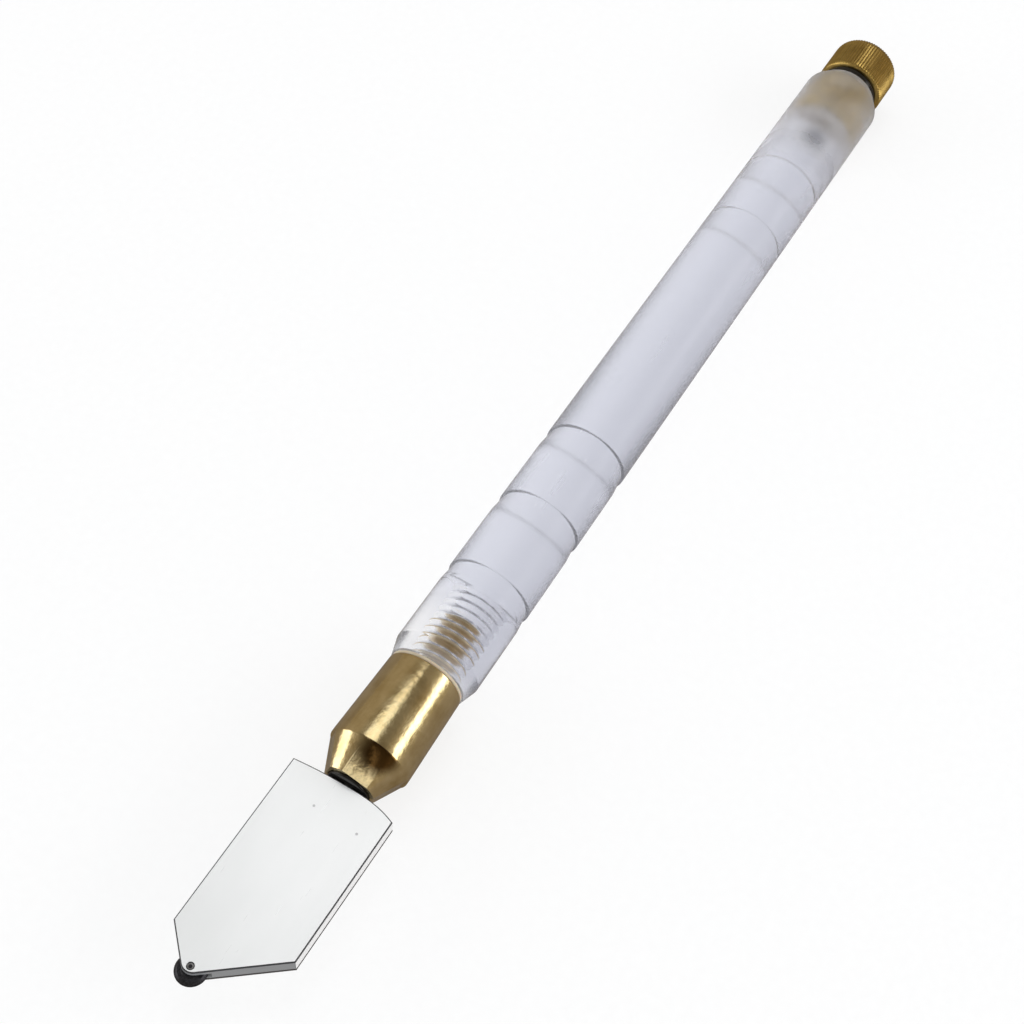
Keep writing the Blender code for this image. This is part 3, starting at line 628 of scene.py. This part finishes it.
def felt():
    """Packed fibres along the wick."""
    n = Nodes("felt")
    fibres = n.noise((1200.0, 7000.0, 7000.0), 5.0, 0.7)
    n.put("Base Color", n.ramp(fibres, [(0.3, (0.52, 0.48, 0.40)), (0.7, (0.80, 0.77, 0.70))]))
    n.put("Roughness", 0.95)
    n.put("Sheen Weight", 0.4)
    n.bump(fibres, 0.05 * MM)
    return n.material


# ---------------------------------------------------------------- clear barrel

def barrel_outline():
    """The barrel's outside: each grip groove starts at a faint crease and ends in a step."""
    points = [
        (BARREL_FRONT, BARREL_RADIUS - FRONT_CHAMFER[1]),
        (BARREL_FRONT + FRONT_CHAMFER[0], BARREL_RADIUS),
    ]
    for groove in GRIP_GROOVES:
        points.append((groove - GRIP_RISE, BARREL_RADIUS - GRIP_CREASE))
        points.append((groove, BARREL_RADIUS - GRIP_DEPTH))
        points.append((groove + GRIP_STEP, BARREL_RADIUS))
    for groove in MARK_GROOVES:
        points.append((groove - MARK_WIDTH / 2, BARREL_RADIUS))
        points.append((groove, BARREL_RADIUS - MARK_DEPTH))
        points.append((groove + MARK_WIDTH / 2, BARREL_RADIUS))
    points.append((BARREL_REAR - REAR_CHAMFER[0], BARREL_RADIUS))
    points.append((BARREL_REAR, BARREL_RADIUS - REAR_CHAMFER[1]))
    return rounded(points, 0.12 * MM)


def make_barrel(material):
    front_root = FRONT_THREAD[0] + FRONT_THREAD[1]
    rear_root = REAR_THREAD[0] + REAR_THREAD[1]
    thread_end = BARREL_FRONT + FRONT_THREAD_LENGTH
    rear_start = BARREL_REAR - REAR_THREAD_LENGTH
    bore = thread_rings(BARREL_FRONT, thread_end, TAPPED_THREAD, 0.05 * MM, front_root)
    bore.append((thread_end + RESERVOIR_RADIUS - FRONT_THREAD[0], RESERVOIR_RADIUS))
    bore.append((rear_start - RESERVOIR_RADIUS + REAR_THREAD[0], RESERVOIR_RADIUS))
    bore += thread_rings(rear_start, BARREL_REAR, REAR_THREAD, 0.0, rear_root)
    bm = on_axis(barrel_outline() + bore[::-1], BARREL_COLUMNS)
    piece = object_from("barrel", bm, material, "handle")
    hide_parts("handle")


def ring_like(node, inner, corner, steps, columns):
    """A washer or seal of the CAD node's size, with rounded outer corners."""
    low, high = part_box(node)
    outer = (high.z - low.z) / 2
    profile = [(low.x, inner), (low.x, outer), (high.x, outer), (high.x, inner)]
    return on_axis(rounded(profile, corner, steps), columns)


def make_front_gasket(material):
    ring = ring_like("front_gasket", 3.9 * MM, 0.12 * MM, 3, 96)
    piece = object_from("gasket", ring, material, "front_seal")
    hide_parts("front_gasket")


# ---------------------------------------------------------------- brass holder

def holder_rings():
    outside = [
        (NOSE_FRONT, NOSE_RADIUS),
        (SHOULDER, HOLDER_RADIUS),
        (SHOULDER + 0.6 * MM, HOLDER_RADIUS),
        (HOLDER_REAR, HOLDER_REAR_RADIUS),
        (HOLDER_REAR, 4.6 * MM),
    ]
    core = FRONT_THREAD[0] - FRONT_THREAD[1] - THREAD_PLAY
    rings = rounded(outside, 0.15 * MM)
    rings.append((HOLDER_REAR, core))
    rings += thread_rings(HOLDER_REAR + 0.5 * MM, STUB_REAR - 0.3 * MM, FRONT_THREAD, -THREAD_PLAY, core)
    bore = [
        (STUB_REAR, core - 0.3 * MM),
        (STUB_REAR, VALVE_BORE_RADIUS + 0.1 * MM),
        (STUB_REAR - 0.1 * MM, VALVE_BORE_RADIUS),
        (SEAT[1], VALVE_BORE_RADIUS),
        (SEAT[1], SEAT_HOLE_RADIUS),
        (SEAT[0], SEAT_HOLE_RADIUS),
        (SEAT[0], SOCKET_RADIUS),
        (NOSE_FRONT + NOSE_BORE_DEPTH, SOCKET_RADIUS),
        (NOSE_FRONT + NOSE_BORE_DEPTH, NOSE_BORE_RADIUS),
        (NOSE_FRONT, NOSE_BORE_RADIUS),
    ]
    return rings + bore


def nose_cutter(turn):
    """A wedge that mills one nose flat of even width, and leaves a small step at the shoulder."""
    half = NOSE_FLAT_WIDTH / 2
    front = math.sqrt(NOSE_RADIUS**2 - half**2)
    rear = math.sqrt(HOLDER_RADIUS**2 - half**2)
    overhang = 1.0 * MM
    front -= overhang * (rear - front) / (SHOULDER - NOSE_FRONT)
    outward = Vector((0.0, math.cos(turn), math.sin(turn)))
    sideways = Vector((0.0, -math.sin(turn), math.cos(turn)))
    bm = bmesh.new()
    rows = []
    for x, floor in ((NOSE_FRONT - overhang, front), (SHOULDER, rear)):
        row = []
        for reach, side in ((floor, -1), (floor, 1), (2 * HOLDER_RADIUS, 1), (2 * HOLDER_RADIUS, -1)):
            centre = Vector((x, 0.0, AXIS_Z))
            row.append(bm.verts.new(centre + outward * reach + sideways * side * HOLDER_RADIUS))
        rows.append(row)
    for index in range(4):
        after = (index + 1) % 4
        bm.faces.new((rows[0][index], rows[0][after], rows[1][after], rows[1][index]))
    bm.faces.new(rows[0])
    bm.faces.new(rows[1])
    return bm


def make_holder(material):
    piece = object_from("brass_holder", on_axis(holder_rings(), HOLDER_COLUMNS), material, "holder")
    for flat in range(NOSE_FLATS):
        cut(piece, nose_cutter(NOSE_FLAT_TURN + flat * math.tau / NOSE_FLATS), SHARP_FLAT)
    low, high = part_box("lock_screw")
    radius = (high.x - low.x) / 2 + SCREW_HOLE_PLAY
    centre = (middle("lock_screw").x, 0.0, AXIS_Z - HOLDER_RADIUS / 2 - SCREW_HOLE_DROP)
    cut(piece, cylinder(radius, HOLDER_RADIUS, 48, UPWARD, centre), SHARP_FLAT)
    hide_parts("holder")


# ---------------------------------------------------------------- head plate

def arc(centre, radius, start, end, steps):
    points = []
    for step in range(steps + 1):
        angle = start + (end - start) * step / steps
        points.append(centre + radius * Vector((math.cos(angle), math.sin(angle))))
    return points


def plate_outline():
    """The plate from above: rounded tip, two unequal slopes, straight sides, crowned rear."""
    left = Vector((PLATE_LEFT_SHOULDER, PLATE_HIGH.y))
    right = Vector((PLATE_RIGHT_SHOULDER, PLATE_LOW.y))
    to_left = (left - PLATE_APEX).normalized()
    to_right = (right - PLATE_APEX).normalized()
    half_angle = to_left.angle(to_right) / 2
    inward = (to_left + to_right).normalized()
    centre = PLATE_APEX + inward * (PLATE_TIP_ROUND / math.sin(half_angle))
    sweep = math.pi / 2 - half_angle
    outward = math.atan2(-inward.y, -inward.x)
    points = arc(centre, PLATE_TIP_ROUND, outward + sweep, outward - sweep, 20)
    points.append(left)
    width = PLATE_HIGH.y - PLATE_LOW.y
    steps = 24
    for step in range(steps + 1):
        share = step / steps
        base = PLATE_LEFT_TOP + (PLATE_RIGHT_TOP - PLATE_LEFT_TOP) * share
        rise = (PLATE_HIGH.x - base) * (1 - abs(2 * share - 1) ** PLATE_CROWN_POWER)
        points.append(Vector((base + rise, PLATE_HIGH.y - width * share)))
    points.append(right)
    return points


def make_head_plate(material):
    bm = bmesh.new()
    lower = [bm.verts.new((point.x, point.y, PLATE_LOW.z)) for point in plate_outline()]
    upper = [bm.verts.new((point.x, point.y, PLATE_HIGH.z)) for point in plate_outline()]
    rims = []
    for index in range(len(lower)):
        after = (index + 1) % len(lower)
        side = bm.faces.new((lower[index], lower[after], upper[after], upper[index]))
        rims += [side.edges[0], side.edges[2]]
    bm.faces.new(list(reversed(lower)))
    bm.faces.new(upper)
    bmesh.ops.recalc_face_normals(bm, faces=bm.faces)
    bmesh.ops.bevel(
        bm, geom=rims, offset=PLATE_EDGE, segments=3, profile=0.5, affect="EDGES", clamp_overlap=True
    )
    piece = object_from("cutting_plate", bm, material, "head")
    cut(piece, cylinder(WHEEL_SLOT[0], WHEEL_SLOT[1], 64, UPWARD, WHEEL_CENTRE), SHARP_PLATE)
    cut(piece, cylinder(WHEEL_BORE_RADIUS, DRILL_LENGTH, 32, UPWARD, WHEEL_CENTRE), SHARP_PLATE)
    socket_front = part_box("head_stem")[0].x - STEM_SOCKET_MARGIN
    centre = (socket_front + DRILL_LENGTH / 2, 0.0, AXIS_Z)
    cut(piece, cylinder(STEM_SOCKET_RADIUS, DRILL_LENGTH, 48, REARWARD, centre), SHARP_PLATE)
    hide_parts("head_plate")


def stand_up(bm, place):
    """Turns a body made about X so that it stands about Z at place."""
    bmesh.ops.rotate(bm, verts=bm.verts, matrix=Matrix.Rotation(math.radians(-90), 3, "Y"))
    bmesh.ops.translate(bm, verts=bm.verts, vec=place)


def make_wheel_axle(material):
    low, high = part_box("wheel_axle")
    radius = (high.x - low.x) / 2
    half = (high.z - low.z) / 2
    outline = [(-half, CENTRE_RADIUS), (-half, radius), (half, radius), (half, CENTRE_RADIUS)]
    bm = turned(rounded(outline, 0.1 * MM), 32, loop=False)
    stand_up(bm, middle("wheel_axle"))
    piece = object_from("axle_pin", bm, material, "head")
    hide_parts("wheel_axle")


def make_cutter_wheel(material):
    low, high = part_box("cutter_wheel")
    half = (high.z - low.z) / 2
    face = half - WHEEL_HUB_STEP
    right = [
        (face, WHEEL_RADIUS - WHEEL_BEVEL),
        (face, WHEEL_HUB_RADIUS + WHEEL_HUB_STEP),
        (half, WHEEL_HUB_RADIUS),
        (half, WHEEL_BORE_RADIUS),
    ]
    left = [(-x, radius) for x, radius in reversed(right)]
    bm = turned(rounded(left + [(0.0, WHEEL_RADIUS)] + right, 0.03 * MM, 2), 96)
    stand_up(bm, WHEEL_CENTRE)
    piece = object_from("carbide_wheel", bm, material, "wheel")
    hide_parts("cutter_wheel")


def make_neck_seal(material):
    ring = ring_like("neck_o_ring", 1.2 * MM, 0.25 * MM, 5, 96)
    piece = object_from("neck_seal", ring, material, "head")
    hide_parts("neck_o_ring")


# ---------------------------------------------------------------- cap

def fluted(radius, depth=CAP_FLUTE_DEPTH):
    """A ring's radius around the cap, with V-shaped flutes between sharp ridges."""
    def reach(angles):
        wave = 0.5 + 0.5 * np.cos(angles * CAP_FLUTES)
        return radius - depth * (1 - wave)
    return reach


def cap_shell():
    """The cap's outside, from its front rim over the rounded rear edge to the dished end."""
    rings = [
        (CAP_FRONT, 4.0 * MM),
        (CAP_FRONT, CAP_RADIUS - 0.45 * MM),
        (CAP_FRONT + 0.12 * MM, CAP_RADIUS - 0.25 * MM),
        (CAP_FRONT + 0.28 * MM, fluted(CAP_RADIUS - 0.02 * MM)),
        (CAP_FRONT + 0.38 * MM, fluted(CAP_RADIUS)),
    ]
    for share in (0.2, 0.5, 0.8):
        rings.append((CAP_FRONT + (CAP_REAR - CAP_FRONT) * share, fluted(CAP_RADIUS)))
    for step in range(CAP_EDGE_STEPS + 1):
        turn = math.pi / 2 * step / CAP_EDGE_STEPS
        x = CAP_REAR - CAP_EDGE_ROUND + CAP_EDGE_ROUND * math.sin(turn)
        radius = CAP_RADIUS - CAP_EDGE_ROUND * (1 - math.cos(turn))
        rings.append((x, fluted(radius, CAP_FLUTE_DEPTH * math.cos(turn) ** 0.5)))
    rim, floor, depth = CAP_DISH
    rings += [(CAP_REAR, rim), (CAP_REAR - depth, floor), (CAP_REAR - depth, CENTRE_RADIUS)]
    return rings


def cap_plug():
    """The threaded plug below the cap, and its pin."""
    core = REAR_THREAD[0] - REAR_THREAD[1] - THREAD_PLAY
    rings = [
        (PLUG_PIN_FRONT, CENTRE_RADIUS),
        (PLUG_PIN_FRONT, PLUG_PIN_RADIUS),
        (PLUG_FRONT, PLUG_PIN_RADIUS),
        (PLUG_FRONT, core - 0.3 * MM),
    ]
    rings += thread_rings(PLUG_FRONT + 0.3 * MM, BARREL_REAR + 0.4 * MM, REAR_THREAD, -THREAD_PLAY, core)
    rings.append((CAP_FRONT, core))
    return rings


def make_cap(material):
    rings = (cap_plug() + cap_shell())[::-1]
    shape = on_axis(rings, 4 * CAP_FLUTES, loop=False)
    piece = object_from("filler_cap", shape, material, "cap", SHARP_FLUTE)
    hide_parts("cap")


def make_plug_seal(material):
    ring = ring_like("cap_plug_seal", 0.9 * MM, 0.2 * MM, 3, 64)
    piece = object_from("plug_seal", ring, material, "cap")
    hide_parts("cap_plug_seal")


def make_cap_seal(material):
    ring = ring_like("cap_o_ring", 3.95 * MM, 0.35 * MM, 6, 96)
    piece = object_from("cap_seal_ring", ring, material, "cap_seal")
    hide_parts("cap_o_ring")


# ---------------------------------------------------------------- stage

def area_light(name, place, size, radiance):
    """A softbox of the given brightness, facing the middle of the tool."""
    lamp = bpy.data.lights.new(name, "AREA")
    lamp.shape = "RECTANGLE"
    lamp.size, lamp.size_y = size
    lamp.energy = radiance * math.pi * size[0] * size[1]
    item = bpy.data.objects.new(name, lamp)
    bpy.context.scene.collection.objects.link(item)
    item.location = place
    item.rotation_euler = (-Vector(place)).to_track_quat("-Z", "Y").to_euler()


def make_floor():
    """Pale backlit paper, whose glow nearly drowns the shadows. It looks darker in what shines,
    so that metal shows contrast."""
    bm = bmesh.new()
    bmesh.ops.create_grid(bm, x_segments=1, y_segments=1, size=FLOOR_SIZE)
    n = Nodes("floor_paper")
    path = n.node("LightPath").outputs
    shines = n.maths("SUBTRACT", path["Is Glossy Ray"], path["Is Transmission Ray"], clamp=True)
    paper = n.ramp(n.noise((900.0, 900.0, 900.0), 2.0), [(0.3, 0.24), (0.7, 0.26)])
    n.put("Base Color", n.mix(shines, paper, (0.20, 0.155, 0.115)))
    n.put("Roughness", 0.9)
    n.put("Specular IOR Level", 0.1)
    n.put("Emission Color", (1.0, 1.0, 1.0, 1.0))
    glow = n.maths("MULTIPLY_ADD", shines, -FLOOR_GLOW_LOST * FLOOR_GLOW, FLOOR_GLOW)
    n.put("Emission Strength", glow)
    floor = object_from("floor", bm, n.material, None)
    floor.location = (0.0, 0.0, -FLOOR_DROP)


def sky(tree, height, stops):
    """A background whose brightness follows the height of the direction, through stops."""
    ramp = tree.nodes.new("ShaderNodeValToRGB")
    fill_ramp(ramp.color_ramp, stops)
    made = tree.nodes.new("ShaderNodeBackground")
    tree.links.new(height, ramp.inputs["Fac"])
    tree.links.new(ramp.outputs["Color"], made.inputs["Color"])
    return made


def make_world():
    """A studio that is pale to the camera and even to matt surfaces. What shines sees warm dark
    walls, and what bends light sees a dark horizon, so that metal and clear edges read."""
    world = bpy.data.worlds.new("studio")
    bpy.context.scene.world = world
    world.use_nodes = True
    tree = world.node_tree
    tree.nodes.clear()
    coordinates = tree.nodes.new("ShaderNodeTexCoord")
    parts = tree.nodes.new("ShaderNodeSeparateXYZ")
    tree.links.new(coordinates.outputs["Generated"], parts.inputs[0])
    height = parts.outputs["Z"]
    shown = sky(tree, height, [(0.0, (0.62, 0.62, 0.63)), (1.0, (0.60, 0.61, 0.62))])
    path = tree.nodes.new("ShaderNodeLightPath")
    warm = [(0.0, 0.31), (0.6, 0.33), (0.8, 0.16), (1.0, 0.12)]
    warm_sky = sky(tree, height, [(place, (grey, 0.84 * grey, 0.64 * grey)) for place, grey in warm])
    bent = [(0.0, 0.12), (0.12, 0.16), (0.35, 0.26), (1.0, 0.42)]
    bent_sky = sky(tree, height, [(place, (grey, grey, 1.04 * grey)) for place, grey in bent])
    pale_sky = sky(tree, height, [(0.0, (0.95, 0.95, 0.955)), (1.0, (0.95, 0.95, 0.955))])
    for name, other in (
        ("Is Glossy Ray", warm_sky),
        ("Is Transmission Ray", bent_sky),
        ("Is Camera Ray", pale_sky),
    ):
        chosen = tree.nodes.new("ShaderNodeMixShader")
        tree.links.new(path.outputs[name], chosen.inputs[0])
        tree.links.new(shown.outputs[0], chosen.inputs[1])
        tree.links.new(other.outputs[0], chosen.inputs[2])
        shown = chosen
    output = tree.nodes.new("ShaderNodeOutputWorld")
    tree.links.new(shown.outputs[0], output.inputs["Surface"])


def make_camera():
    data = bpy.data.cameras.new("camera")
    data.lens = CAMERA_LENS_MM
    data.clip_start = 0.01
    camera = bpy.data.objects.new("camera", data)
    bpy.context.scene.collection.objects.link(camera)
    facing = (CAMERA_AIM - CAMERA_PLACE).to_track_quat("-Z", "Y").to_matrix().to_4x4()
    roll = Matrix.Rotation(CAMERA_ROLL, 4, "Z")
    camera.matrix_world = Matrix.Translation(CAMERA_PLACE) @ facing @ roll
    bpy.context.scene.camera = camera


def make_stage():
    make_floor()
    make_world()
    area_light("key_softbox", (0.25, 0.15, 0.81), (0.42, 0.42), 1.35)
    area_light("side_strip", (0.23, -0.67, 0.32), (0.9, 0.24), 3.0)
    area_light("front_softbox", (-0.40, 0.75, 0.21), (0.65, 0.5), 2.0)
    area_light("nose_card", (-0.41, -0.18, 0.59), (0.13, 0.13), 1.3)
    make_camera()
    bpy.context.scene.view_settings.view_transform = "Standard"


# ---------------------------------------------------------------- assembly

def finish_cad_nodes(finishes):
    """Gives each CAD node that stays its finish."""
    for node, material in finishes.items():
        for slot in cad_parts[node].material_slots:
            slot.material = material


def build():
    pale, tan = (0.84, 0.70, 0.40), (0.64, 0.49, 0.23)
    holder_brass = brass("satin_brass", pale, tan, 0.20, holder_painted_light=True)
    cap_brass = brass("knurled_brass", (0.58, 0.41, 0.13), (0.34, 0.23, 0.06), 0.34)
    bright_steel = steel("bright_steel", (0.80, 0.81, 0.82), 0.22)
    black = rubber("black_rubber", 0.006, 0.016, 0.18)
    make_barrel(clear_acrylic())
    make_front_gasket(plastic("pale_plastic", (0.66, 0.56, 0.40), 0.4))
    make_holder(holder_brass)
    make_head_plate(plate_steel())
    make_wheel_axle(axle_steel())
    make_cutter_wheel(carbide())
    make_neck_seal(black)
    make_cap(cap_brass)
    make_plug_seal(rubber("grey_rubber", 0.34, 0.44, 0.55))
    make_cap_seal(black)
    finish_cad_nodes(
        {
            "slide_bush": brass("bronze", (0.60, 0.42, 0.22), (0.42, 0.27, 0.13), 0.3),
            "spring_retainer": holder_brass,
            "lock_screw": bright_steel,
            "lock_pellet": plastic("nylon", (0.84, 0.84, 0.80), 0.45),
            "head_spring": bright_steel,
            "valve_spring": bright_steel,
            "valve_ball": bright_steel,
            "head_stem": bright_steel,
            "retaining_clip": bright_steel,
            "oil_wick": felt(),
        }
    )
    make_stage()


build()
